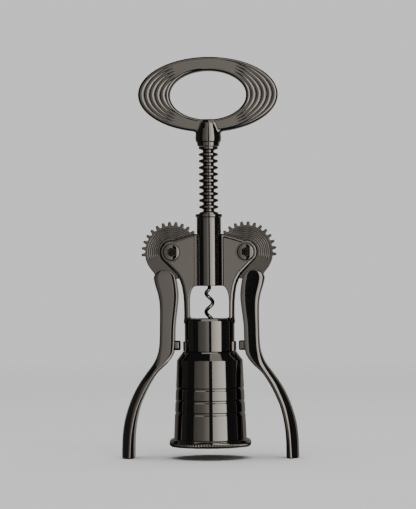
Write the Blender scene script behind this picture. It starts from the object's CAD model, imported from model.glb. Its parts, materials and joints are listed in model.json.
"""Looks for the double-lever wing corkscrew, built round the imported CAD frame.

Shapes are worked out in millimetres and written in metres. Cast parts are rounded solids given by a
distance function and skinned by surface nets; turned parts are lathed; the lever arms are lofted.
"""

import json
import math

import bpy
import numpy as np
from mathutils import Matrix, Vector


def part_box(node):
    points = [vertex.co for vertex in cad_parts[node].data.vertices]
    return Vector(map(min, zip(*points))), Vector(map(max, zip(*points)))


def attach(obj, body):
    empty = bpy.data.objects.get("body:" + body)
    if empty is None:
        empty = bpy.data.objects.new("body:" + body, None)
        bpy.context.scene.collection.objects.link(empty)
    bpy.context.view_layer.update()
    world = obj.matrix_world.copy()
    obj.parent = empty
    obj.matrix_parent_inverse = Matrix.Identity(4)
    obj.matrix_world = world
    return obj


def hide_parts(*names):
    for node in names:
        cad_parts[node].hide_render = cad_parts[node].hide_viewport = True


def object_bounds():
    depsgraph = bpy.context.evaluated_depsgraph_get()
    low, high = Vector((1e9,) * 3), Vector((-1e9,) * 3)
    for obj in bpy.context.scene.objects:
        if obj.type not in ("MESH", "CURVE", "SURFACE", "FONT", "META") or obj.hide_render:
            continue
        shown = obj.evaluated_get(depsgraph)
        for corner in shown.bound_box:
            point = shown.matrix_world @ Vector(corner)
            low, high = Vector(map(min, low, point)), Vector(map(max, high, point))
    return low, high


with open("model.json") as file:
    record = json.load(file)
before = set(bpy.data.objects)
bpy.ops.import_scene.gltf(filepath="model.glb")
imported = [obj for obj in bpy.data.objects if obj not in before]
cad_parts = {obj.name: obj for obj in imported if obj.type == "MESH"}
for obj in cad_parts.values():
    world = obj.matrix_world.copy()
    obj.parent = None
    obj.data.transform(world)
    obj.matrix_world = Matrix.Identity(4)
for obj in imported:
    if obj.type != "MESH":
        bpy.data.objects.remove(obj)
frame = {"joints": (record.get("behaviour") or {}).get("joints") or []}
cad_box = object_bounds()

MM = 0.001

# -------------------- sizes, in millimetres

TEETH_PER_TURN = 28
RING_PITCH = 4.261
PITCH_RADIUS = TEETH_PER_TURN * RING_PITCH / (2 * math.pi)
PRESSURE_ANGLE = math.radians(20)
BACKLASH = 0.3


def node_box(name):
    """Lowest and highest corner of a CAD node, in millimetres, to the nearest hundredth."""
    return [[round(float(value) / MM, 2) for value in corner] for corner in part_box(name)]


PIVOT = next(joint["pos_m"] for joint in frame["joints"] if joint["name"] == "right_lever_pivot")
PIVOT_X, PIVOT_Z = float(PIVOT[0] / MM), float(PIVOT[2] / MM)

# Half distances across the gear slot and the cheeks, and the radius of the slot's round end.
CHEEK_INNER, CHEEK_OUTER, SLOT_RADIUS = 3.8, 6.6, 20.4
GEAR_TIP, GEAR_ROOT, GEAR_HALF, GEAR_BORE = 19.85, 17.45, 3.0, 4.3

# Pivot screw: a domed head with a hexagon socket, a short neck and a plain shank in the nut's barrel.
HEAD_RADIUS, HEAD_SEAT, HEAD_HEIGHT, DOME_BALL = 5.65, 6.65, 2.6, 25.0
HEX_HALF, HEX_DEPTH, HEX_SLOPE = 2.475, 1.9, 1.8
SHANK_RADIUS, SHANK_END, NECK_RADIUS, NECK_END = 1.95, 3.2, 2.9, 6.25
BARREL_RADIUS, BARREL_BORE, PIVOT_HOLE = 3.2, 2.1, 3.35
GUIDE_BORE = 6.33

# -------------------- materials


def new_material(name):
    """A material with its Principled shader, ready for nodes."""
    material = bpy.data.materials.new(name)
    material.use_nodes = True
    return material, material.node_tree, material.node_tree.nodes["Principled BSDF"]


def new_node(tree, kind, **inputs):
    """A shader node with some inputs set. In their names an underscore stands for a space."""
    node = tree.nodes.new("ShaderNode" + kind)
    for name, value in inputs.items():
        node.inputs[name.replace("_", " ")].default_value = value
    return node


# A noise texture's output lies mostly between these two values.
NOISE_LOW, NOISE_HIGH = 0.3, 0.7

# The surface grain of metal, in features per metre and in metres of depth.
GRAIN_SCALE, GRAIN_DEPTH = 2600.0, 0.00002


def noise(tree, scale, detail):
    """The output of a noise texture in object space, its scale in features per metre."""
    coords = new_node(tree, "TexCoord")
    texture = new_node(tree, "TexNoise", Scale=scale, Detail=detail)
    tree.links.new(coords.outputs["Object"], texture.inputs["Vector"])
    return texture.outputs["Fac"]


def remap(tree, source, low, high):
    """Maps the middle of a noise output's range on to a new range."""
    span = new_node(tree, "MapRange", From_Min=NOISE_LOW, From_Max=NOISE_HIGH, To_Min=low, To_Max=high)
    tree.links.new(source, span.inputs["Value"])
    return span.outputs["Result"]


def colour_between(tree, source, dark, light):
    """A colour that wanders between two tones with a texture output."""
    ramp = new_node(tree, "ValToRGB")
    stops = ((NOISE_LOW, dark), (NOISE_HIGH, light))
    for element, (position, colour) in zip(ramp.color_ramp.elements, stops):
        element.position, element.color = position, (*colour, 1)
    tree.links.new(source, ramp.inputs["Fac"])
    return ramp.outputs["Color"]


def bump(tree, source, shader, strength, distance):
    """Fine relief from a texture output, its depth in metres."""
    node = new_node(tree, "Bump", Strength=strength, Distance=distance)
    tree.links.new(source, node.inputs["Height"])
    tree.links.new(node.outputs["Normal"], shader.inputs["Normal"])


def metal(name, dark, light, glossy, dull, scale, grain):
    """Metal whose tone and roughness drift a little, with a fine surface grain."""
    material, tree, shader = new_material(name)
    shader.inputs["Metallic"].default_value = 1.0
    tone = noise(tree, scale, 3.0)
    tree.links.new(colour_between(tree, tone, dark, light), shader.inputs["Base Color"])
    haze = noise(tree, 3.1 * scale, 5.0)
    tree.links.new(remap(tree, haze, glossy, dull), shader.inputs["Roughness"])
    bump(tree, noise(tree, GRAIN_SCALE, 2.0), shader, grain, GRAIN_DEPTH)
    return material


def nylon(name):
    """Black moulded nylon with a fine spark-eroded texture."""
    material, tree, shader = new_material(name)
    tone = noise(tree, 90.0, 4.0)
    ramp = colour_between(tree, tone, (0.012, 0.012, 0.014), (0.022, 0.022, 0.024))
    tree.links.new(ramp, shader.inputs["Base Color"])
    haze = noise(tree, 240.0, 3.0)
    tree.links.new(remap(tree, haze, 0.42, 0.58), shader.inputs["Roughness"])
    bump(tree, noise(tree, 1800.0, 3.0), shader, 0.35, 0.00006)
    return material


BLACK_CHROME = metal("black_chrome", (0.325, 0.308, 0.285), (0.345, 0.328, 0.305), 0.045, 0.075, 38.0, 0.03)
CUT_CHROME = metal("cut_chrome", (0.21, 0.199, 0.184), (0.24, 0.228, 0.212), 0.07, 0.13, 60.0, 0.06)
STEEL = metal("turned_steel", (0.50, 0.50, 0.49), (0.60, 0.60, 0.59), 0.22, 0.34, 70.0, 0.25)
BRONZE = metal("sintered_bronze", (0.42, 0.29, 0.14), (0.56, 0.41, 0.22), 0.30, 0.46, 160.0, 0.5)
NYLON = nylon("black_nylon")

# -------------------- meshes


def new_object(name, data):
    """Puts a mesh, a camera or a light into the scene under a name."""
    item = bpy.data.objects.new(name, data)
    bpy.context.scene.collection.objects.link(item)
    return item


def add_piece(name, body, material, points, faces, normals=None, replaces=(), slot="black_chrome"):
    """A smooth mesh piece from millimetre points. Normals, where given, are set exactly."""
    mesh = bpy.data.meshes.new(name)
    mesh.from_pydata((np.asarray(points) * MM).tolist(), [], [list(map(int, face)) for face in faces])
    mesh.materials.append(material)
    mesh.polygons.foreach_set("use_smooth", [True] * len(mesh.polygons))
    mesh.update()
    if normals is not None:
        mesh.normals_split_custom_set_from_vertices(np.asarray(normals).tolist())
    piece = new_object(name, mesh)
    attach(piece, body)
    if replaces:
        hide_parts(*replaces)
    return piece


# A rounded corner takes up to this share of each edge beside it, and at least this many millimetres.
LARGEST_CUT, SMALLEST_CUT = 0.48, 0.004


def rounded_profile(corners, steps=5):
    """Rounds each [across, along, radius] corner with an arc. Returns points and their unit normals.

    The corners run so that the material lies on the left of each edge."""
    points, normals = [], []
    count = len(corners)
    for i in range(count):
        here = np.array(corners[i][:2], float)
        radius = corners[i][2]
        before = np.array(corners[i - 1][:2], float)
        after = np.array(corners[(i + 1) % count][:2], float)
        enter, leave = here - before, after - here
        long_in, long_out = np.linalg.norm(enter), np.linalg.norm(leave)
        enter, leave = enter / long_in, leave / long_out
        turn = math.atan2(enter[0] * leave[1] - enter[1] * leave[0], float(enter @ leave))
        cut = min(abs(radius * math.tan(turn / 2)), LARGEST_CUT * long_in, LARGEST_CUT * long_out)
        cut = max(cut, SMALLEST_CUT)
        radius = cut / max(abs(math.tan(turn / 2)), 1e-6)
        sign = 1.0 if turn > 0 else -1.0
        start_normal = np.array([enter[1], -enter[0]])
        centre = here - enter * cut - sign * start_normal * radius
        for k in range(steps + 1):
            angle = turn * k / steps
            cos, sin = math.cos(angle), math.sin(angle)
            normal = np.array([cos * start_normal[0] - sin * start_normal[1],
                               sin * start_normal[0] + cos * start_normal[1]])
            points.append(centre + sign * normal * radius)
            normals.append(normal)
    return np.array(points), np.array(normals)


def lathe(corners, sides, steps, axis="z", centre=(0, 0, 0), ripple=None):
    """Turns a rounded profile of [radius, height, rounding] corners about an axis.

    ripple, where given, is a function of angle and height that is taken off the radius."""
    profile, slopes = rounded_profile(corners, steps)
    angle = np.arange(sides) * 2 * math.pi / sides
    radius = np.repeat(profile[None, :, 0], sides, 0)
    height = np.repeat(profile[None, :, 1], sides, 0)
    if ripple is not None:
        radius = radius - ripple(angle[:, None], height)
    cos, sin = np.cos(angle)[:, None], np.sin(angle)[:, None]
    points = np.stack([radius * cos, radius * sin, height], -1)
    normals = np.stack([slopes[None, :, 0] * cos, slopes[None, :, 0] * sin,
                        np.repeat(slopes[None, :, 1], sides, 0)], -1)
    rows = len(profile)
    index = np.arange(sides * rows).reshape(sides, rows)
    following = np.roll(index, -1, 0)
    along, along_next = np.roll(index, -1, 1), np.roll(following, -1, 1)
    faces = np.stack([index, following, along_next, along], -1).reshape(-1, 4)
    points, normals = points.reshape(-1, 3), normals.reshape(-1, 3)
    if axis == "y":
        points = points[:, [0, 2, 1]] * (1, 1, -1)
        normals = normals[:, [0, 2, 1]] * (1, 1, -1)
    return points + np.array(centre), faces, (None if ripple is not None else normals)


def crossings(values, axis):
    """Grid edges along an axis whose ends lie on either side of the zero surface.

    Returns each edge's first grid point, how far along it the surface is, and whether it leads out."""
    first = [slice(None)] * 3
    second = [slice(None)] * 3
    first[axis], second[axis] = slice(None, -1), slice(1, None)
    start, end = values[tuple(first)], values[tuple(second)]
    changes = (start < 0) != (end < 0)
    a, b = start[changes], end[changes]
    return np.argwhere(changes), a / (a - b), a < 0


def net_points(values):
    """One point in each cube that the surface passes through: the mean of where it cuts the edges.

    Returns the points in cells, and each cube's point number."""
    cubes = [n - 1 for n in values.shape]
    total = np.zeros(cubes + [3], np.float32)
    count = np.zeros(cubes, np.uint8)
    for axis in range(3):
        where, share, _ = crossings(values, axis)
        at = where.astype(np.float32)
        at[:, axis] += share
        others = [k for k in range(3) if k != axis]
        for step in ((0, 0), (0, 1), (1, 0), (1, 1)):
            cube = where.copy()
            cube[:, others[0]] -= step[0]
            cube[:, others[1]] -= step[1]
            fits = np.all((cube >= 0) & (cube < np.array(cubes)), 1)
            i, j, k = cube[fits].T
            np.add.at(total, (i, j, k), at[fits])
            np.add.at(count, (i, j, k), 1)
    used = count > 0
    number = np.full(count.shape, -1, np.int64)
    number[used] = np.arange(used.sum())
    return total[used] / count[used][:, None], number


def net_faces(values, number):
    """A quad across each grid edge that the surface cuts, between the four cubes round it."""
    faces = []
    for axis in range(3):
        where, _, leaving = crossings(values, axis)
        u, v = [(1, 2), (2, 0), (0, 1)][axis]
        quad = []
        for du, dv in ((0, 0), (1, 0), (1, 1), (0, 1)):
            cube = where.copy()
            cube[:, u] -= du
            cube[:, v] -= dv
            quad.append(number[tuple(cube.T)])
        quad = np.stack(quad, 1)
        quad[~leaving] = quad[~leaving][:, ::-1]
        faces.append(quad)
    return np.concatenate(faces)


def surface_net(field, low, high, cell, passes=5):
    """Skins the zero surface of a distance function with quads, then settles each point on to it.

    The function takes arrays of x, y and z that broadcast, and returns millimetres, negative inside."""
    axes = [np.arange(a - 1.5 * cell, b + 1.5 * cell, cell) for a, b in zip(low, high)]
    x, y, z = axes[0][:, None, None], axes[1][None, :, None], axes[2][None, None, :]
    values = np.broadcast_to(field(x, y, z), [len(a) for a in axes]).astype(np.float32)
    points, number = net_points(values)
    points = points * cell + np.array([a[0] for a in axes])
    for _ in range(passes):
        slope, value = gradient(field, points)
        points = points - slope * np.clip(value, -cell, cell)[:, None]
    return points, net_faces(values, number), gradient(field, points)[0]


def gradient(field, points, reach=0.02):
    """Unit slope of a distance function at points, and its value scaled by the slope's size."""
    slope = np.empty_like(points)
    for axis in range(3):
        ahead, behind = points.copy(), points.copy()
        ahead[:, axis] += reach
        behind[:, axis] -= reach
        slope[:, axis] = (field(*ahead.T) - field(*behind.T)) / (2 * reach)
    size = np.maximum(np.linalg.norm(slope, axis=1), 1e-6)
    return slope / size[:, None], field(*points.T) / np.maximum(size, 0.3)


# -------------------- distance functions


def polygon_field(outline):
    """Exact signed distance to a closed outline of 2D points, as a function of two arrays."""
    points = np.array(outline, float)

    def field(u, v):
        nearest = np.full(np.broadcast(u, v).shape, 1e9)
        inside = np.zeros(nearest.shape, bool)
        for a, b in zip(points, np.roll(points, -1, 0)):
            edge = b - a
            along = np.clip(((u - a[0]) * edge[0] + (v - a[1]) * edge[1]) / (edge @ edge), 0, 1)
            gap = (u - a[0] - along * edge[0]) ** 2 + (v - a[1] - along * edge[1]) ** 2
            nearest = np.minimum(nearest, gap)
            if a[1] != b[1]:
                crosses = (a[1] > v) != (b[1] > v)
                inside = inside ^ (crosses & (u < a[0] + (v - a[1]) * edge[0] / edge[1]))
        return np.sqrt(nearest) * np.where(inside, -1.0, 1.0)

    return field


def ellipse_field(u, v, half_u, half_v):
    """Close signed distance to an ellipse about the origin."""
    level = np.sqrt((u / half_u) ** 2 + (v / half_v) ** 2)
    slope = np.sqrt((u / half_u ** 2) ** 2 + (v / half_v ** 2) ** 2)
    return level * (level - 1) / np.maximum(slope, 1e-6)


def rounded_both(a, b, radius):
    """The part inside both a and b, with the edge between them rounded."""
    outside = np.sqrt(np.maximum(a + radius, 0) ** 2 + np.maximum(b + radius, 0) ** 2)
    return np.minimum(np.maximum(a, b) + radius, 0) + outside - radius


def joined(a, b, fillet):
    """a and b together, with a fillet where they meet."""
    mix = np.clip(0.5 + 0.5 * (b - a) / fillet, 0, 1)
    return b * (1 - mix) + a * mix - fillet * mix * (1 - mix)


def without(a, b, radius):
    """a with b cut away, and the new edge rounded."""
    return rounded_both(a, -b, radius)


def smooth(low, high, value):
    """0 below low, 1 above high, and a smooth rise between."""
    share = np.clip((value - low) / (high - low), 0, 1)
    return share * share * (3 - 2 * share)


def mirrored(points, faces, normals):
    """The same mesh on the other side of x = 0."""
    flip = np.array([-1.0, 1.0, 1.0])
    turned = [face[::-1] for face in faces]
    return points * flip, turned, (None if normals is None else normals * flip)


def arc(u, v, radius, start, end, steps):
    """Points on a circular arc, angles in degrees."""
    angles = np.radians(np.linspace(start, end, steps + 1))
    return [(u + radius * math.cos(a), v + radius * math.sin(a)) for a in angles]


# -------------------- ring handle

# Half width, half height and height of the centre of the ring's two ovals.
RING_OUTER = (45.4, 24.4, 235.95)
RING_HOLE = (24.8, 15.8, 235.5)
RING_HALF, EDGE_CHAMFER = 5.0, 1.15

# Five round-topped ridges a side. Their starts and steps are shares of the way from the hole to the rim,
# and they fade out between two distances from the spindle.
RIDGES, FIRST_GROOVE, GROOVE_STEP, RIDGE_RADIUS = 5, 0.143, 0.167, 2.5
RIDGES_START, RIDGES_FULL = 14.5, 31.0

SPINDLE_HOLE, SPINDLE_HOLE_TOP = 2.35, 216.8

# Half outline of the socket, from its crown down to its mouth.
SOCKET_HALF = [(0, 219.6), (3.6, 219.6), (5.3, 218.9), (6.4, 217.4), (7.4, 213.6), (8.1, 209.8),
               (8.3, 207.7), (8.0, 205.5), (7.3, 204.9), (6.9, 202.5), (0, 202.5)]
socket_outline = polygon_field(SOCKET_HALF)
socket_plate = polygon_field(SOCKET_HALF + [(-x, z) for x, z in reversed(SOCKET_HALF[1:-1])])


def ridge_depth(x, hole, outer):
    """How far the ring's faces sink below the ridges' crests, from the distances to its two ovals."""
    band = hole - outer
    phase = (hole / np.maximum(band, 1e-3) - FIRST_GROOVE) / GROOVE_STEP
    from_crest = (phase - np.floor(phase) - 0.5) * GROOVE_STEP * np.clip(band, 0, 21)
    depth = RIDGE_RADIUS - np.sqrt(RIDGE_RADIUS ** 2 - from_crest ** 2)
    grooved = np.abs(phase - 0.5 * (RIDGES - 1)) < 0.5 * RIDGES
    return np.where(grooved, depth, 0) * smooth(RIDGES_START, RIDGES_FULL, np.abs(x))


def handle_field(x, y, z):
    """The ring, joined to its round socket, with a blind hole for the spindle."""
    outer = ellipse_field(x, z - RING_OUTER[2], RING_OUTER[0], RING_OUTER[1])
    hole = ellipse_field(x, z - RING_HOLE[2], RING_HOLE[0], RING_HOLE[1])
    band = np.maximum(joined(outer, socket_plate(x, z) + 0.6, 3.2), -hole)
    side = np.abs(y) - RING_HALF + ridge_depth(x, hole, outer)
    ring = rounded_both(band, side, 0.3)
    ring = rounded_both(ring, (band + side + EDGE_CHAMFER) / math.sqrt(2), 0.6)
    radius = np.sqrt(x ** 2 + y ** 2)
    socket = socket_outline(radius, z) - 0.15
    bore = np.maximum(radius - SPINDLE_HOLE, z - SPINDLE_HOLE_TOP)
    return without(joined(ring, socket, 0.7), bore, 0.15)


add_piece("handle_ring_cast", "handle", BLACK_CHROME,
          *surface_net(handle_field, (-45.4, -8.5, 202.4), (45.4, 8.5, 260.4), 0.31),
          replaces=["handle_ring"])

# -------------------- rack, spindle and worm

RACK_LOW, RACK_HIGH = node_box("rack_sleeve")
RACK_BOTTOM, RACK_TOP, RACK_OUTER = RACK_LOW[2], RACK_HIGH[2], RACK_HIGH[0]
RACK_ROOT, RACK_BORE = 3.6, 2.28
RING_TOP, RING_COUNT = 196.95, 18


def ring_half(radius):
    """Half the thickness of a rack ring at a radius."""
    return RING_PITCH / 4 - (radius - PIVOT_X + PITCH_RADIUS) * math.tan(PRESSURE_ANGLE)


def rack_profile():
    """Corners of the rack: a bored rod with round teeth all the way up and a plain collar on top."""
    land, foot = ring_half(RACK_OUTER), ring_half(RACK_ROOT)
    corners = [(RACK_BORE, RACK_BOTTOM, 0.1), (RACK_ROOT, RACK_BOTTOM, 0.3)]
    for i in reversed(range(RING_COUNT)):
        z = RING_TOP - i * RING_PITCH
        corners += [(RACK_ROOT, z - foot, 0.45), (RACK_OUTER, z - land, 0.3)]
        corners += [(RACK_OUTER, z + land, 0.3), (RACK_ROOT, z + foot, 0.45)]
    shoulder = RING_TOP + RING_PITCH
    corners += [(RACK_ROOT, shoulder - foot, 0.45), (RACK_OUTER, shoulder - land, 0.3)]
    return corners + [(RACK_OUTER, RACK_TOP, 0.3), (RACK_BORE, RACK_TOP, 0.1)]


add_piece("rack_rings", "rack", BLACK_CHROME, *lathe(rack_profile(), 96, 4), replaces=["rack_sleeve"])

SPINDLE_LOW, SPINDLE_HIGH = node_box("spindle")
SPINDLE_RADIUS, WORM_HOLE, WORM_HOLE_TOP, SPINDLE_AXIS = SPINDLE_HIGH[0], 1.35, 121.5, 0.2


def spindle_profile():
    """The rod's corners: a hole for the worm below, then a hair's breadth from the axis to the top."""
    return [(WORM_HOLE, SPINDLE_LOW[2], 0.1), (SPINDLE_RADIUS, SPINDLE_LOW[2], 0.3),
            (SPINDLE_RADIUS, SPINDLE_HIGH[2], 0.4), (SPINDLE_AXIS, SPINDLE_HIGH[2], 0.05),
            (SPINDLE_AXIS, WORM_HOLE_TOP, 0.05), (WORM_HOLE, WORM_HOLE_TOP, 0.05)]


def sleeve_profile(inner, outer, low, high, inner_edge, outer_edge):
    """Corners of a plain ring or bush, with a rounding for its bore's edges and one for the others."""
    return [(inner, low, inner_edge), (outer, low, outer_edge), (outer, high, outer_edge),
            (inner, high, inner_edge)]


RETAINER_LOW, RETAINER_HIGH = node_box("retaining_collar")
retainer = sleeve_profile(2.3, RETAINER_HIGH[0], RETAINER_LOW[2], RETAINER_HIGH[2], 0.1, 0.4)

add_piece("spindle_rod", "handle", STEEL, *lathe(spindle_profile(), 64, 4), replaces=["spindle"],
          slot="steel")
add_piece("retaining_ring", "handle", STEEL, *lathe(retainer, 96, 4), replaces=["retaining_collar"],
          slot="steel")

WORM_WIRE, WORM_COIL, WORM_PITCH, WORM_RIGHTMOST = 1.2, 2.2, 12.35, 100.75
# The wire starts to swing out at WORM_SWING, is on the full helix at WORM_HELIX, and thins over WORM_POINT.
WORM_TOP, WORM_SWING, WORM_HELIX, WORM_TIP, WORM_POINT = 121.0, 111.5, 106.5, 58.0, 12.0


def worm_mesh(steps=420, sides=20):
    """Round wire on a right-hand helix, straight at the top and drawn to a point at the tip."""
    z = np.linspace(WORM_TOP, WORM_TIP, steps)
    turn = 2 * math.pi * (z - WORM_RIGHTMOST) / WORM_PITCH
    reach = WORM_COIL * smooth(0, WORM_SWING - WORM_HELIX, WORM_SWING - z)
    path = np.stack([reach * np.cos(turn), reach * np.sin(turn), z], 1)
    wire = WORM_WIRE * (0.1 + 0.9 * np.clip((z - WORM_TIP) / WORM_POINT, 0, 1) ** 0.8)
    tangent = np.gradient(path, axis=0)
    tangent /= np.linalg.norm(tangent, axis=1)[:, None]
    side = np.array([1.0, 0, 0])
    points, normals = [], []
    for at, forward, radius in zip(path, tangent, wire):
        side = side - forward * (side @ forward)
        side /= np.linalg.norm(side)
        across = np.cross(forward, side)
        for k in range(sides):
            angle = 2 * math.pi * k / sides
            normal = side * math.cos(angle) + across * math.sin(angle)
            points.append(at + normal * radius)
            normals.append(normal)
    index = np.arange(steps * sides).reshape(steps, sides)
    nearby = np.roll(index, -1, 1)
    faces = np.stack([index[:-1], nearby[:-1], nearby[1:], index[1:]], -1).reshape(-1, 4)
    return np.array(points), [*faces, index[0, ::-1], index[-1]], np.array(normals)


add_piece("worm_helix", "handle", BLACK_CHROME, *worm_mesh(), replaces=["worm"])

# -------------------- yoke

TUBE_RADIUS, TUBE_LIP, TUBE_BORE, TUBE_TOP, TUBE_BOTTOM = 7.93, 8.7, 7.1, 158.3, 111.6
COLLAR_RADIUS, COLLAR_TOP, COLLAR_BOTTOM, COLLAR_FOOT, COLLAR_BORE = 16.25, 90.35, 58.6, 15.2, 12.0

# The two stops that the levers' lugs meet.
STOP_RADIUS, STOP_INNER, STOP_HALF, STOP_TOP, STOP_BOTTOM = 17.35, 15.5, 6.5, 75.7, 69.2

# The casting is bored for the rack down to RACK_BORE_END, and for the worm from below up to WORM_BORE_END.
RACK_BORE_END, WORM_BORE_END = 100.0, 95.0


def cheek_outline():
    """The cheeks' outline: across the tube, round each pivot boss and down to the collar."""
    right = [(0, 145.6), (9.0, 145.6), (13.0, 144.6), (18.5, 143.0)]
    right += arc(PIVOT_X, PIVOT_Z, 8.1, 98, -40, 18)
    right += [(27.0, 125.2), (23.6, 121.8), (20.9, 118.9), (18.9, 115.4), (17.6, 111.4), (16.8, 106.5),
              (16.35, 101.0), (COLLAR_RADIUS, 95.0), (COLLAR_RADIUS, 88.0), (0, 88.0)]
    return right + [(-x, z) for x, z in reversed(right[1:-1])]


def window_outline():
    """The window between the arms. Each upper corner is a quarter of a tall ellipse."""
    corner = np.radians(np.linspace(0, 90, 10))
    right = [(0, TUBE_BOTTOM)]
    right += [(8.7 + 4.2 * math.sin(a), 102.2 + 9.4 * math.cos(a)) for a in corner]
    right += [(12.9, 91.8), (12.0, 90.0), (0, 90.0)]
    return right + [(-x, z) for x, z in reversed(right[1:-1])]


cheek_2d = polygon_field(cheek_outline())
window_2d = polygon_field(window_outline())
COLLAR = [(COLLAR_BORE, COLLAR_BOTTOM), (COLLAR_FOOT, COLLAR_BOTTOM), (COLLAR_FOOT, STOP_BOTTOM),
          (COLLAR_RADIUS, STOP_BOTTOM), (COLLAR_RADIUS, COLLAR_TOP - 1.35),
          (COLLAR_RADIUS - 0.75, COLLAR_TOP), (9.0, COLLAR_TOP), (9.0, 88.4), (COLLAR_BORE, 86.5)]
collar_2d = polygon_field(COLLAR)

# The casting stays this far below the turned collar, which covers it.
SKIN = 0.1
CHEEK_EDGE, WINDOW_EDGE = 2.6, 0.5

# Each cheek ends this far from the spindle, in a lip that rises by LIP_RISE times the square of its width.
CHEEK_START, LIP_WIDTH, LIP_RISE = 8.45, 1.45, 0.085

# The floor of the valley beside the tube: its depth at the cheek, its slope and where it meets the tube.
# Its measure is divided by RAMP_STRETCH to keep distances close to true.
RAMP_FOOT, RAMP_SLOPE, RAMP_END, RAMP_STRETCH = 4.07, 0.625, 4.15, 1.18


def gear_slots(body, x, y, z):
    """Cuts the slots that the gears turn in, and the pivots' holes."""
    pivot = np.sqrt((np.abs(x) - PIVOT_X) ** 2 + (z - PIVOT_Z) ** 2)
    body = without(body, np.maximum(pivot - SLOT_RADIUS, np.abs(y) - CHEEK_INNER), 0.25)
    return np.maximum(body, -(pivot - PIVOT_HOLE))


def between(value, low, high):
    """Signed distance to the stretch from low to high, negative inside it."""
    return np.abs(value - 0.5 * (high + low)) - 0.5 * (high - low)


def tube_field(x, y, z):
    """The guide tube, with a short lip round its top."""
    radius = np.sqrt(x ** 2 + y ** 2)
    lip = (TUBE_LIP - TUBE_RADIUS) * smooth(TUBE_TOP - 2.3, TUBE_TOP - 1.6, z)
    tube = rounded_both(radius - TUBE_RADIUS - lip, between(z, TUBE_BOTTOM, TUBE_TOP), 0.5)
    return gear_slots(without(tube, radius - TUBE_BORE, 0.3), x, y, z)


def cheek_field(x, y, z):
    """Cheeks and window arms. Along the tube each cheek ends in a low lip and a deep valley."""
    depth, side = np.abs(y), np.abs(x)
    outline = cheek_2d(x, z)
    lip = LIP_RISE * np.clip(CHEEK_START + LIP_WIDTH - side, 0, 1.5) ** 2
    plate = rounded_both(outline, depth - CHEEK_OUTER - lip, CHEEK_EDGE)
    beside_tube = np.where(z > TUBE_BOTTOM + 0.2 * (side - TUBE_RADIUS), CHEEK_START - side, -9.0)
    above_ramp = depth - RAMP_FOOT - RAMP_SLOPE * (CHEEK_START - side)
    ramp = rounded_both(outline, above_ramp / RAMP_STRETCH, 0.8)
    ramp = np.maximum(ramp, np.maximum(side - CHEEK_START - 0.3, RAMP_END - side))
    cheek = np.minimum(rounded_both(plate, beside_tube, 0.3), ramp)
    return without(cheek, window_2d(x, z), WINDOW_EDGE)


def yoke_field(x, y, z):
    """The casting: cheeks and arms, bored for the rack and the worm, the collar and its two stops."""
    radius = np.sqrt(x ** 2 + y ** 2)
    body = gear_slots(cheek_field(x, y, z), x, y, z)
    body = np.maximum(body, -np.maximum(radius - TUBE_BORE - 0.4, RACK_BORE_END - z))
    body = np.maximum(body, -np.maximum(radius - COLLAR_BORE, z - WORM_BORE_END))
    body = joined(body, collar_2d(radius, z) + SKIN, 2.0)
    stop = rounded_both(radius - STOP_RADIUS, between(z, STOP_BOTTOM, STOP_TOP), 0.5)
    stop = np.maximum(rounded_both(stop, np.abs(y) - STOP_HALF, 0.6), STOP_INNER - radius)
    return joined(body, stop, 0.5)


add_piece("yoke_cast", "frame", BLACK_CHROME,
          *surface_net(yoke_field, (-32.3, -17.4, 58.5), (32.3, 17.4, 146.0), 0.36), replaces=["yoke"])
add_piece("yoke_collar_turned", "frame", BLACK_CHROME, *lathe([(r, z, 0.3) for r, z in COLLAR], 192, 4))
add_piece("yoke_guide_tube", "frame", BLACK_CHROME,
          *surface_net(tube_field, (-8.7, -8.7, TUBE_BOTTOM), (8.7, 8.7, TUBE_TOP), 0.28))

for name in ("top_guide_bush", "lower_guide_bush"):
    low, high = node_box(name)
    bush = sleeve_profile(GUIDE_BORE, high[0], low[2], high[2], 0.3, 0.1)
    add_piece(name + "_turned", "frame", BRONZE, *lathe(bush, 96, 3), replaces=[name], slot="bronze")

# -------------------- bell

BELL_TOP_RADIUS, BELL_BOTTOM_RADIUS, BELL_SHOULDER, BELL_BOTTOM = 21.4, 23.9, 63.5, 8.0
BELL_BORE, BELL_INNER_TOP, BELL_NECK_TOP, BELL_NECK_BORE = 19.5, 58.3, 69.0, 15.45
BELL_GROOVE_TOPS, BELL_GROOVE_DEPTH = (30.2, 38.1, 46.0), 0.3


def bell_skin(z):
    """The sleeve's outer radius at a height."""
    share = (BELL_SHOULDER - z) / (BELL_SHOULDER - BELL_BOTTOM)
    return BELL_TOP_RADIUS + (BELL_BOTTOM_RADIUS - BELL_TOP_RADIUS) * share


def bell_profile():
    """Corners of the sleeve, from the top of its bore down, up past its three grooves and over its neck."""
    corners = [(BELL_BORE, BELL_INNER_TOP, 0.5), (BELL_BORE, BELL_BOTTOM, 0.8),
               (BELL_BOTTOM_RADIUS, BELL_BOTTOM, 0.3)]
    for top in BELL_GROOVE_TOPS:
        corners += [(bell_skin(top - 2.1), top - 2.1, 0.15),
                    (bell_skin(top - 2) - BELL_GROOVE_DEPTH, top - 1.5, 0.12),
                    (bell_skin(top) - BELL_GROOVE_DEPTH, top - 0.6, 0.12), (bell_skin(top), top, 0.15)]
    corners += [(BELL_TOP_RADIUS, BELL_SHOULDER, 0.5), (17.95, 68.15, 0.2), (17.45, BELL_NECK_TOP, 0.15)]
    return corners + [(BELL_NECK_BORE, BELL_NECK_TOP, 0.3), (BELL_NECK_BORE, BELL_INNER_TOP, 0.2)]


add_piece("bell_sleeve_turned", "frame", BLACK_CHROME, *lathe(bell_profile(), 256, 4),
          replaces=["bell_sleeve"])

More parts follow.
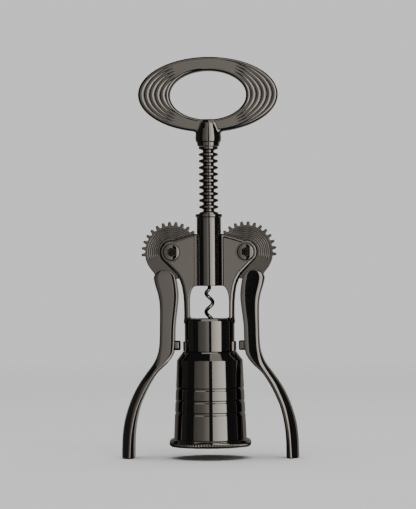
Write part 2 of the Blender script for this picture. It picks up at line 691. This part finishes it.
RIM_LOW, RIM_HIGH = node_box("bell_rim")
RIM_RADIUS, RIM_BORE, RIM_BOTTOM, RIM_TOP = RIM_HIGH[0], 24.1, RIM_LOW[2], RIM_HIGH[2]
RIM_NOTCHES, RIM_NOTCH_DEPTH = 88, 0.6
RIM = [(RIM_BORE, RIM_BOTTOM, 0.2), (25.6, RIM_BOTTOM, 0.9), (RIM_RADIUS, 8.9, 1.7),
       (RIM_RADIUS, 10.4, 1.5), (25.9, 12.2, 1.0), (RIM_BORE, RIM_TOP, 0.3)]

# Corners of the nylon liner: the bore that centres the bottle, its flared mouth and the stop on top.
LINER = [(16.3, 55.0, 0.6), (16.3, 14.0, 2.0), (17.9, 9.0, 0.5), (19.3, 9.0, 0.3), (19.3, 58.0, 0.4),
         (9.5, 58.0, 0.4), (9.5, 55.0, 0.6)]


def rim_ripple(angle, height):
    """V-shaped notches round the lower half of the rim."""
    wave = np.abs(((angle * RIM_NOTCHES / (2 * math.pi)) % 1) - 0.5) * 2
    notch = RIM_NOTCH_DEPTH * smooth(0.05, 1.0, wave)
    return notch * (1 - smooth(9.6, 10.4, height)) * smooth(7.5, 7.9, height)


add_piece("bell_rim_notched", "frame", BLACK_CHROME, *lathe(RIM, RIM_NOTCHES * 10, 5, ripple=rim_ripple),
          replaces=["bell_rim"])
add_piece("bottle_liner_moulded", "frame", NYLON, *lathe(LINER, 192, 4), replaces=["bottle_liner"],
          slot="black_nylon")

# -------------------- levers


def involute(angle):
    """The involute function of a pressure angle."""
    return math.tan(angle) - angle


def tooth_half_angle(radius):
    """Half the angle a gear tooth takes up at a radius."""
    base = PITCH_RADIUS * math.cos(PRESSURE_ANGLE)
    at_pitch = (RING_PITCH / 2 - BACKLASH) / (2 * PITCH_RADIUS)
    return at_pitch + involute(PRESSURE_ANGLE) - involute(math.acos(min(1.0, base / radius)))


# Teeth are counted from the rack ring beside the pivot, and the rest of the gear's edge is plain.
FIRST_TOOTH, LAST_TOOTH, MESHING_RING, PLAIN_STEPS = -2, 14, 15, 24
FLANK_RADII = (GEAR_ROOT, 17.85, 18.4, 19.0, 19.5, GEAR_TIP)


def gear_outline():
    """Outline of the left gear, with teeth only where the rack can reach them."""
    step = 2 * math.pi / TEETH_PER_TURN
    gap = (RING_TOP - MESHING_RING * RING_PITCH - PIVOT_Z) / PITCH_RADIUS
    outline = []
    for i in range(FIRST_TOOTH, LAST_TOOTH + 1):
        middle = gap + (i + 0.5) * step
        flank = [(radius, tooth_half_angle(radius)) for radius in FLANK_RADII]
        outline += [(radius, middle - half) for radius, half in flank]
        outline += [(radius, middle + half) for radius, half in reversed(flank)]
    last, first = outline[-1][1], outline[0][1] + 2 * math.pi
    outline += [(GEAR_ROOT + 0.2, last + (first - last) * k / PLAIN_STEPS) for k in range(1, PLAIN_STEPS)]
    return [(r * math.cos(angle) - PIVOT_X, r * math.sin(angle) + PIVOT_Z) for r, angle in outline]


# The neck that joins the gear to the arm.
NECK = [(-39.4, 126.0), (-35.8, 120.4), (-34.2, 114.0), (-32.0, 108.5), (-22.6, 108.5), (-21.9, 115.0),
        (-23.0, 122.0)]
gear_2d = polygon_field(gear_outline())
neck_2d = polygon_field(NECK)


def gear_field(x, y, z):
    """The left gear and its neck, bored for the bush."""
    blade = joined(gear_2d(x, z), neck_2d(x, z), 0.8)
    radius = np.sqrt((x + PIVOT_X) ** 2 + (z - PIVOT_Z) ** 2)
    return without(rounded_both(blade, np.abs(y) - GEAR_HALF, 0.5), radius - GEAR_BORE, 0.3)


# The grooved plate on each face: its grooves and radii, its rise in groove depths and how far it is sunk
# into the gear. Its ends, and the stretch where it fades, are in degrees round the pivot.
FACE_GROOVES, FACE_INNER, FACE_OUTER, FACE_GROOVE_DEPTH = 6, 8.6, 16.1, 0.2
FACE_RISE, FACE_SEAT = 1.15, 0.02
FACE_START, FACE_SINKS, FACE_SUNK, FACE_END = -22, 182, 205, 206


def gear_face_mesh(steps=160, rings=121):
    """Raised plate with concentric grooves on both faces of the left gear, sinking at its lower end."""
    angle = np.radians(np.linspace(FACE_START, FACE_END, steps))
    radius = np.linspace(FACE_INNER, FACE_OUTER, rings)
    pace = 2 * math.pi * FACE_GROOVES / (FACE_OUTER - FACE_INNER)
    turn = pace * (radius - FACE_INNER)
    rise = 0.5 - 0.5 * np.cos(turn)
    fade = 1 - smooth(FACE_SINKS, FACE_SUNK, np.degrees(angle))[:, None]
    height = GEAR_HALF - FACE_SEAT + FACE_GROOVE_DEPTH * (FACE_RISE - rise ** 2) * fade
    tilt = FACE_GROOVE_DEPTH * rise * np.sin(turn) * pace * fade
    cos, sin = np.cos(angle)[:, None], np.sin(angle)[:, None]
    x = -PIVOT_X + radius * cos
    z = PIVOT_Z + radius * sin
    normal = np.stack([tilt * cos, -np.ones_like(tilt), tilt * sin], -1)
    normal /= np.linalg.norm(normal, axis=-1)[..., None]
    front = np.stack([x, -height, z], -1).reshape(-1, 3)
    back = front * (1, -1, 1)
    lay = normal.reshape(-1, 3)
    index = np.arange(steps * rings).reshape(steps, rings)
    quads = np.stack([index[:-1, :-1], index[:-1, 1:], index[1:, 1:], index[1:, :-1]], -1).reshape(-1, 4)
    # The plate's edge all the way round, so that its sides can be closed between the two faces.
    edge = np.concatenate([index[:, 0], index[-1, 1:], index[-2::-1, -1], index[0, -2:0:-1]])
    after = np.roll(edge, -1)
    total = steps * rings
    sides = np.stack([edge, after, after + total, edge + total], -1)
    faces = np.concatenate([quads, quads[:, ::-1] + total, sides])
    return np.concatenate([front, back]), faces, np.concatenate([lay, lay * (1, -1, 1)])


# Arm sections from the shoulder down to the tip: height, then distances out from the spindle to the
# inner face, the inner and outer ends of the front flat and the outer face, then half the bar's depth.
ARM = np.array([
    [116.5, 21.7, 24.5, 35.0, 36.2, 6.5],
    [112.8, 21.0, 23.7, 34.4, 35.4, 6.5],
    [105.6, 20.3, 23.3, 32.4, 33.3, 6.5],
    [99.0, 20.8, 23.6, 31.6, 32.4, 6.5],
    [86.0, 22.3, 25.0, 31.6, 32.4, 6.6],
    [73.0, 22.8, 25.5, 32.0, 32.9, 6.9],
    [67.0, 23.9, 26.3, 32.9, 34.2, 7.3],
    [61.5, 27.7, 29.4, 34.6, 36.7, 7.8],
    [55.5, 33.9, 35.0, 38.2, 41.1, 8.4],
    [49.0, 38.4, 39.4, 42.4, 45.7, 8.9],
    [42.0, 42.1, 43.2, 45.7, 49.7, 9.4],
    [33.5, 45.7, 46.9, 49.0, 53.2, 9.8],
    [24.0, 48.0, 49.5, 51.1, 56.0, 10.0],
    [14.0, 49.2, 51.1, 52.3, 57.4, 10.0],
    [0.0, 49.5, 51.9, 53.1, 57.85, 10.0],
])
ARM_STEP = 0.8

# The rounded nose above the shoulder, and the heights between which the bar turns into a paddle.
NOSE_HEIGHT, NOSE_APEX, NOSE_EDGE, NOSE_STEPS = 5.6, 29.6, 1.0, 22
PADDLE_FULL, PADDLE_START = 53.0, 69.0


def arm_row(z):
    """The arm's sizes at a height, on smooth curves through the stations."""
    heights = ARM[::-1, 0]
    table = ARM[::-1, 1:]
    z = min(max(z, heights[0]), heights[-1])
    i = int(np.clip(np.searchsorted(heights, z) - 1, 0, len(heights) - 2))
    span = heights[i + 1] - heights[i]
    share = (z - heights[i]) / span
    slopes = []
    for k in (i, i + 1):
        low, high = max(k - 1, 0), min(k + 1, len(heights) - 1)
        slopes.append((table[high] - table[low]) / (heights[high] - heights[low]))
    a, b = table[i], table[i + 1]
    square, cube = share ** 2, share ** 3
    return (a * (2 * cube - 3 * square + 1) + slopes[0] * span * (cube - 2 * square + share)
            + b * (3 * square - 2 * cube) + slopes[1] * span * (cube - square))


def arm_section(z):
    """Corners of one section of the left arm, as [outwards, across, rounding] round the bar.

    The front flat leans a little outwards, with a wide shallow bevel along its inner edge. Lower down the
    bar turns into a deep paddle, and the bevel takes over most of its front."""
    inner, flat_inner, flat_outer, outer, depth = arm_row(z)
    flat = flat_outer - flat_inner
    bevel = flat_inner - inner
    paddle = 1 - smooth(PADDLE_FULL, PADDLE_START, z)
    half = [(inner, (0.09 + 0.91 * paddle) * bevel - depth, 0.5),
            (inner + (0.75 + 0.17 * paddle) * bevel, -depth, 14.0 - 13.0 * paddle),
            (flat_inner + (0.82 - 0.37 * paddle) * flat, 0.033 * flat - depth, 4.0 - 3.0 * paddle),
            (flat_outer, (0.09 + 0.15 * paddle) * flat - depth, 0.7),
            (outer - 0.22 * (outer - flat_outer), -0.6 * depth, 3.5)]
    back = [(out, -across, rounding) for out, across, rounding in reversed(half)]
    return [(inner, 0, 3.0)] + half + [(outer, 0, 6.0)] + back


def nose_rows():
    """Outlines of the arm's rounded nose, from its top down to the shoulder."""
    shoulder = ARM[0, 0]
    outline = rounded_profile(arm_section(shoulder))[0]
    rows = []
    for k in range(NOSE_STEPS):
        turn = math.radians(89 - 89 * k / NOSE_STEPS)
        z = shoulder + NOSE_HEIGHT * math.sin(turn)
        drop = shoulder + NOSE_HEIGHT - z
        edge = NOSE_EDGE - math.sqrt(NOSE_EDGE ** 2 - max(NOSE_EDGE - 2 * drop, 0) ** 2)
        out = NOSE_APEX + (outline[:, 0] - NOSE_APEX) * math.cos(turn)
        across = outline[:, 1] * (1 - edge / ARM[0, 5])
        rows.append([(-u, v, z) for u, v in zip(out, across)])
    return rows


def tip_rows():
    """Outlines of the arm's tip, drawn in a little to round its edge."""
    outline = rounded_profile(arm_section(0))[0]
    away = outline - outline.mean(0)
    away /= np.linalg.norm(away, axis=1)[:, None]
    tucks = ((0.5, 0.05), (0.25, 0.15), (0.08, 0.3), (0.0, 0.5))
    return [[(-u, v, z) for u, v in outline - tuck * away] for z, tuck in tucks]


def arm_mesh():
    """Skins the arm from its rounded nose down to the flat tip."""
    bar = [[(-u, v, z) for u, v in rounded_profile(arm_section(z))[0]]
           for z in np.arange(ARM[0, 0], ARM_STEP, -ARM_STEP)]
    rows = nose_rows() + bar + tip_rows()
    count = len(rows[0])
    points = np.array([point for row in rows for point in row])
    index = np.arange(len(rows) * count).reshape(-1, count)
    nearby = np.roll(index, -1, 1)
    faces = np.stack([index[1:], nearby[1:], nearby[:-1], index[:-1]], -1).reshape(-1, 4)
    return points, [*faces, index[0], index[-1, ::-1]], None


LUG_OUT, LUG_HEIGHT = 21.4, 73.0


def lug_field(x, y, z):
    """Small rounded lug on the inside of the left arm, which meets the collar's lip."""
    box = rounded_both(np.abs(z - LUG_HEIGHT) - 3.2, np.abs(x + LUG_OUT) - 2.5, 1.0)
    return rounded_both(box, np.abs(y) - 3.0, 2.2)


LEVER_PARTS = [
    ("gear", surface_net(gear_field, (-44.0, -3.1, 108.3), (-4.1, 3.1, 153.6), 0.26), CUT_CHROME),
    ("gear_face", gear_face_mesh(), CUT_CHROME),
    ("arm", arm_mesh(), BLACK_CHROME),
    ("stop_lug", surface_net(lug_field, (-24.0, -3.1, 69.7), (-18.8, 3.1, 76.3), 0.3), BLACK_CHROME),
]
for side in ("left", "right"):
    for label, mesh, finish in LEVER_PARTS:
        shape = mesh if side == "left" else mirrored(*mesh)
        covers = [side + "_lever"] if label == "arm" else []
        add_piece(f"{side}_lever_{label}", side + "_lever", finish, *shape, replaces=covers)

# -------------------- pivot hardware

HEAD_CROWN = HEAD_SEAT + HEAD_HEIGHT
DOME_CENTRE = HEAD_CROWN - DOME_BALL

# The measure of the socket's conical floor is divided by this to keep distances close to true.
HEX_STRETCH = 2.0
WASHER_BORE, WASHER_RADIUS = 3.35, 7.0
BUSH_BORE, BUSH_RADIUS, BUSH_HALF = 3.27, 4.2, 2.9

# Narrow rings round the heads, front and rear, each from one depth to another.
BOSS_BORE, BOSS_RADIUS = 5.85, 6.55
BOSS_RINGS = {"front_boss_ring": (-6.78, -6.3), "rear_boss_ring": (6.3, 6.78)}


def dome_profile():
    """Corners of a button head from the edge of its seat to its crown, which is part of a large ball."""
    dome = [(r, DOME_CENTRE + math.sqrt(DOME_BALL ** 2 - r ** 2), 0.5) for r in np.arange(5.0, 0.4, -0.5)]
    rim = DOME_CENTRE + math.sqrt(DOME_BALL ** 2 - HEAD_RADIUS ** 2)
    return [(HEAD_RADIUS, HEAD_SEAT, 0.15), (HEAD_RADIUS, rim, 0.25)] + dome


def screw_field(x, y, z):
    """Button-head screw on the left pivot, with a hexagon socket and its shank."""
    u, v = x + PIVOT_X, z - PIVOT_Z
    radius = np.sqrt(u ** 2 + v ** 2)
    dome = np.sqrt(radius ** 2 + (-y - DOME_CENTRE) ** 2) - DOME_BALL
    head = rounded_both(rounded_both(dome, radius - HEAD_RADIUS, 0.9), HEAD_SEAT + y, 0.12)
    flats = [np.abs(u * math.cos(a) + v * math.sin(a)) for a in np.radians((0, 60, 120))]
    hexagon = np.maximum.reduce(np.broadcast_arrays(*flats)) - HEX_HALF
    floor = y + HEAD_CROWN - HEX_DEPTH - HEX_SLOPE * (HEX_HALF - radius)
    socket = np.maximum(hexagon, floor / HEX_STRETCH)
    shank = np.maximum(radius - SHANK_RADIUS, np.maximum(y - SHANK_END, -y - HEAD_SEAT - 0.3))
    neck = np.maximum(radius - NECK_RADIUS, np.maximum(y + NECK_END, -y - HEAD_SEAT - 0.3))
    return without(np.minimum.reduce([head, shank, neck]), socket, 0.2)


# The nut: a barrel bored for the screw, and a domed head. AXIS is a hair off the true axis.
NUT_FLOOR, BARREL_END, AXIS = 4.0, -6.2, 0.05
NUT = [(AXIS, NUT_FLOOR, 0.02), (BARREL_BORE, NUT_FLOOR, 0.05), (BARREL_BORE, BARREL_END, 0.1),
       (BARREL_RADIUS, BARREL_END, 0.2), (BARREL_RADIUS, HEAD_SEAT, 0.05), *dome_profile(),
       (AXIS, HEAD_CROWN, 0.2)]


def add_pivot(side, screw, at):
    """One pivot's screw and nut, the rings round their heads, the washers and the lever's bush."""
    add_piece(side + "_pivot_screw_head", "frame", BLACK_CHROME, *screw, replaces=[side + "_pivot_screw"])
    add_piece(side + "_barrel_nut_turned", "frame", BLACK_CHROME, *lathe(NUT, 96, 5, "y", at),
              replaces=[side + "_barrel_nut"])
    for label, (low, high) in BOSS_RINGS.items():
        ring = sleeve_profile(BOSS_BORE, BOSS_RADIUS, low, high, 0.12, 0.2)
        add_piece(f"{side}_{label}", "frame", BLACK_CHROME, *lathe(ring, 96, 4, "y", at))
    for name in (side + "_front_washer", side + "_rear_washer"):
        low, high = node_box(name)
        washer = sleeve_profile(WASHER_BORE, WASHER_RADIUS, low[1], high[1], 0.1, 0.15)
        add_piece(name + "_turned", "frame", STEEL, *lathe(washer, 96, 3, "y", at), replaces=[name],
                  slot="steel")
    bush = sleeve_profile(BUSH_BORE, BUSH_RADIUS, -BUSH_HALF, BUSH_HALF, 0.2, 0.1)
    add_piece(side + "_lever_bush_turned", side + "_lever", BRONZE, *lathe(bush, 96, 3, "y", at),
              replaces=[side + "_lever_bush"], slot="bronze")


screw_mesh = surface_net(screw_field, (-29.8, -9.4, 127.8), (-18.3, 3.3, 139.4), 0.22)
add_pivot("left", screw_mesh, (-PIVOT_X, 0, PIVOT_Z))
add_pivot("right", mirrored(*screw_mesh), (PIVOT_X, 0, PIVOT_Z))

# -------------------- stage, lights and camera

CAMERA_YAW, CAMERA_ROLL = math.radians(3.3), math.radians(-0.42)

# Metres. The view is VIEW_HEIGHT high at the object.
CAMERA_DISTANCE, CAMERA_HEIGHT, CAMERA_SHIFT, VIEW_HEIGHT = 1.6, 0.132, -0.0007, 0.3309
SENSOR = 36.0
PALE, WARM = (0.80, 0.80, 0.80), (1.0, 0.955, 0.91)
FLOOR_SIZE, FLOOR_GAP, FADE_START, FADE_END = 12.0, 0.0002, 0.25, 1.6
TOP_LIGHT_SIZE, TOP_LIGHT_POWER, TOP_LIGHT_HEIGHT = 2.4, 66.0, 1.9
FLANK_LOW, FLANK_HIGH = -1.0, 2.0


def around(across, depth, height):
    """A point so far to the right of the camera's line of sight and towards the camera, in metres."""
    cos, sin = math.cos(CAMERA_YAW), math.sin(CAMERA_YAW)
    return Vector((across * cos + depth * sin, across * sin - depth * cos, height))


def floor_material():
    """Pale and matt near the object, fading into the backdrop's tone before the horizon."""
    material, tree, shader = new_material("pale_floor")
    tone = noise(tree, 3.0, 3.0)
    colour = colour_between(tree, tone, (0.62, 0.62, 0.62), (0.64, 0.64, 0.64))
    tree.links.new(colour, shader.inputs["Base Color"])
    shader.inputs["Roughness"].default_value = 0.9
    coords = new_node(tree, "TexCoord")
    distance = new_node(tree, "VectorMath")
    distance.operation = "LENGTH"
    fade = new_node(tree, "MapRange", From_Min=FADE_START, From_Max=FADE_END)
    fade.interpolation_type = "SMOOTHSTEP"
    backdrop = new_node(tree, "Emission", Color=(*PALE, 1))
    mix = new_node(tree, "MixShader")
    tree.links.new(coords.outputs["Object"], distance.inputs[0])
    tree.links.new(distance.outputs["Value"], fade.inputs["Value"])
    tree.links.new(fade.outputs["Result"], mix.inputs["Fac"])
    tree.links.new(shader.outputs[0], mix.inputs[1])
    tree.links.new(backdrop.outputs[0], mix.inputs[2])
    tree.links.new(mix.outputs[0], tree.nodes["Material Output"].inputs["Surface"])
    return material


def add_floor():
    """A large floor just under the object, left out of reflections."""
    mesh = bpy.data.meshes.new("floor")
    corners = [(-1, -1), (1, -1), (1, 1), (-1, 1)]
    mesh.from_pydata([(FLOOR_SIZE * x, FLOOR_SIZE * y, 0) for x, y in corners], [], [(0, 1, 2, 3)])
    mesh.materials.append(floor_material())
    floor = new_object("floor", mesh)
    floor.location.z = float(cad_box[0][2]) - FLOOR_GAP
    floor.visible_glossy = False


def add_panel(name, columns, tint):
    """A softbox seen only in reflections. Each column is a lower and an upper corner and their glow."""
    material = bpy.data.materials.new(name)
    material.use_nodes = True
    tree = material.node_tree
    tree.nodes.clear()
    glow = new_node(tree, "Attribute")
    glow.attribute_name = "glow"
    emission = new_node(tree, "Emission", Color=(*tint, 1))
    output = new_node(tree, "OutputMaterial")
    tree.links.new(glow.outputs["Fac"], emission.inputs["Strength"])
    tree.links.new(emission.outputs[0], output.inputs["Surface"])
    corners = [corner for low, high, _ in columns for corner in (low, high)]
    faces = [(2 * k, 2 * k + 2, 2 * k + 3, 2 * k + 1) for k in range(len(columns) - 1)]
    mesh = bpy.data.meshes.new(name)
    mesh.from_pydata([tuple(corner) for corner in corners], [], faces)
    values = [value for _, _, value in columns for _ in (0, 1)]
    mesh.attributes.new("glow", "FLOAT", "POINT").data.foreach_set("value", values)
    mesh.materials.append(material)
    panel = new_object(name, mesh)
    panel.visible_camera = False
    panel.visible_shadow = False


def add_world():
    """Pale to the camera, nearly dark to reflections, so that the polished metal keeps its contrast."""
    world = bpy.data.worlds.new("studio")
    bpy.context.scene.world = world
    world.use_nodes = True
    tree = world.node_tree
    tree.nodes.clear()
    path = new_node(tree, "LightPath")
    dim = new_node(tree, "Background", Color=(0.9, 0.95, 1.0, 1), Strength=0.02)
    pale = new_node(tree, "Background", Color=(*PALE, 1), Strength=1.0)
    mix = new_node(tree, "MixShader")
    output = new_node(tree, "OutputWorld")
    tree.links.new(path.outputs["Is Camera Ray"], mix.inputs["Fac"])
    tree.links.new(dim.outputs[0], mix.inputs[1])
    tree.links.new(pale.outputs[0], mix.inputs[2])
    tree.links.new(mix.outputs[0], output.inputs["Surface"])


def add_camera():
    """A long lens at about the height of the object's middle, a little to the right of its front."""
    data = bpy.data.cameras.new("camera")
    data.sensor_width = SENSOR
    data.sensor_fit = "VERTICAL"
    data.sensor_height = SENSOR
    data.lens = SENSOR * CAMERA_DISTANCE / VIEW_HEIGHT
    camera = new_object("camera", data)
    place = Matrix.Translation(around(CAMERA_SHIFT, CAMERA_DISTANCE, CAMERA_HEIGHT))
    level = Matrix.Rotation(math.radians(90), 4, "X")
    camera.matrix_world = (place @ Matrix.Rotation(CAMERA_YAW, 4, "Z") @ level
                           @ Matrix.Rotation(CAMERA_ROLL, 4, "Z"))
    bpy.context.scene.camera = camera


def add_top_light():
    """A soft light overhead for the floor, left out of reflections."""
    light = bpy.data.lights.new("top_softbox", "AREA")
    light.shape = "RECTANGLE"
    light.size, light.size_y = TOP_LIGHT_SIZE, TOP_LIGHT_SIZE
    light.energy = TOP_LIGHT_POWER
    lamp = new_object("top_softbox", light)
    lamp.location = (0, 0, TOP_LIGHT_HEIGHT)
    lamp.visible_camera = False
    lamp.visible_glossy = False


def upright(depth, low, high, *stops):
    """Columns of an upright panel. Each stop is an angle from the line of sight in degrees, and a glow."""
    columns = []
    for angle, value in stops:
        across = abs(depth) * math.tan(math.radians(angle))
        columns.append((around(across, depth, low), around(across, depth, high), value))
    return columns


def flank(across, near, far, value):
    """Columns of a panel to one side, between two depths."""
    return [(around(across, depth, FLANK_LOW), around(across, depth, FLANK_HIGH), value)
            for depth in (near, far)]


def overhead(near, far, height, *stops):
    """Columns of a level panel between two depths. Each stop is a distance across and a glow."""
    return [(around(across, near, height), around(across, far, height), value) for across, value in stops]


add_floor()
add_world()
add_top_light()
add_panel("left_panel", upright(2.5, -2.4, 2.1, (-3.4, 0.46), (-11, 0.36), (-24, 0.21), (-55, 0.12)), WARM)
add_panel("right_panel", upright(2.5, -2.4, 2.6, (7.8, 0.76), (30, 1.3), (50, 1.6), (55, 1.3)), WARM)
add_panel("left_side_panel", flank(-2.5, 0.35, -1.2, 0.035), WARM)
add_panel("right_side_panel", flank(2.5, 0.35, -1.2, 0.025), WARM)
add_panel("front_overhead_panel", overhead(2.0, 1.2, 2.55, (-2.4, 0.45), (0.0, 0.7), (2.4, 0.7)), WARM)
add_panel("right_overhead_panel", overhead(1.2, 0.3, 2.7, (0.02, 0.45), (1.4, 0.5)), WARM)
add_panel("ceiling_panel", overhead(-0.2, -1.6, 2.7, (-1.4, 0.2), (1.4, 0.3)), WARM)
add_panel("back_panel", upright(-2.5, -2.2, 2.1, (-52, 0.10), (-3, 0.20), (4, 0.22), (52, 0.24)), WARM)
add_camera()
